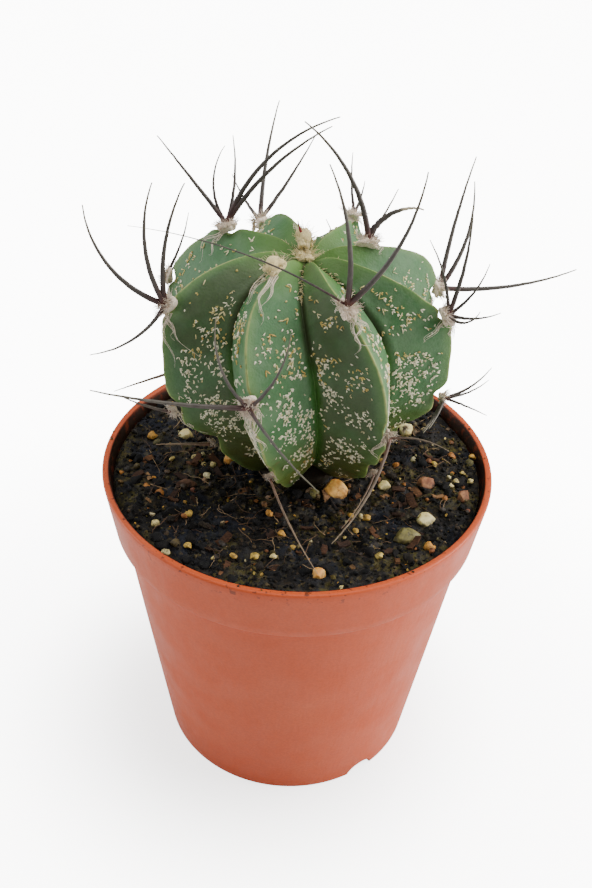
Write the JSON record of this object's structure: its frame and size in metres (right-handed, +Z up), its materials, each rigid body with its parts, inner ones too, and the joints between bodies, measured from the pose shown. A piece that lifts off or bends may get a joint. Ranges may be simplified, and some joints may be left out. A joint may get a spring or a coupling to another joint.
{
  "type": "potted round cactus",
  "caption": "Round ribbed cactus with curved spines on woolly pads, growing in gritty soil in a small tapered plastic nursery pot.",
  "frame": {"origin": "centre of the pot's flat underside, on the pot's axis", "axes": "+Z up along the pot's axis towards the plant's crown; -Y is the front, +X is to the right seen from the front"},
  "size_m": [0.0646, 0.0615, 0.099],
  "materials": {
    "pot_plastic": "satin",
    "potting_mix": "matte",
    "cactus_skin": "satin",
    "wool": "matte",
    "spine": "satin",
    "grit": "matte"
  },
  "bodies": {
    "root": {"areole_1_crown": "wool", "areole_1_lower": "spine", "areole_1_middle": "spine", "areole_2_lower": "spine", "areole_2_middle": "spine", "areole_2_upper": "spine", "areole_3_lower": "spine", "areole_3_middle": "spine", "areole_3_upper": "spine", "areole_4_lower": "spine", "areole_4_middle": "spine", "areole_4_upper": "spine", "areole_5_lower": "spine", "areole_5_middle": "spine", "areole_5_upper": "spine", "areole_6_crown": "spine", "areole_6_lower": "spine", "areole_6_upper": "spine", "areole_7_lower": "spine", "areole_7_middle": "spine", "areole_7_upper": "spine", "areole_8_lower": "spine", "areole_8_middle": "spine", "areole_8_upper": "spine", "cactus_stem": "cactus_skin", "crown_wool": "wool", "pot": "pot_plastic", "soil": "potting_mix", "stone_amber_large": "grit", "stone_amber_left": "grit", "stone_bark_chip": "grit", "stone_olive_flat": "grit", "stone_olive_small": "grit", "stone_pale_front": "grit", "stone_pale_left": "grit", "stone_pale_right": "grit", "stone_red_chip": "grit", "stone_rust_chip": "grit", "stone_tan_small": "grit", "stone_yellow_front": "grit"}
  },
  "joints": []
}
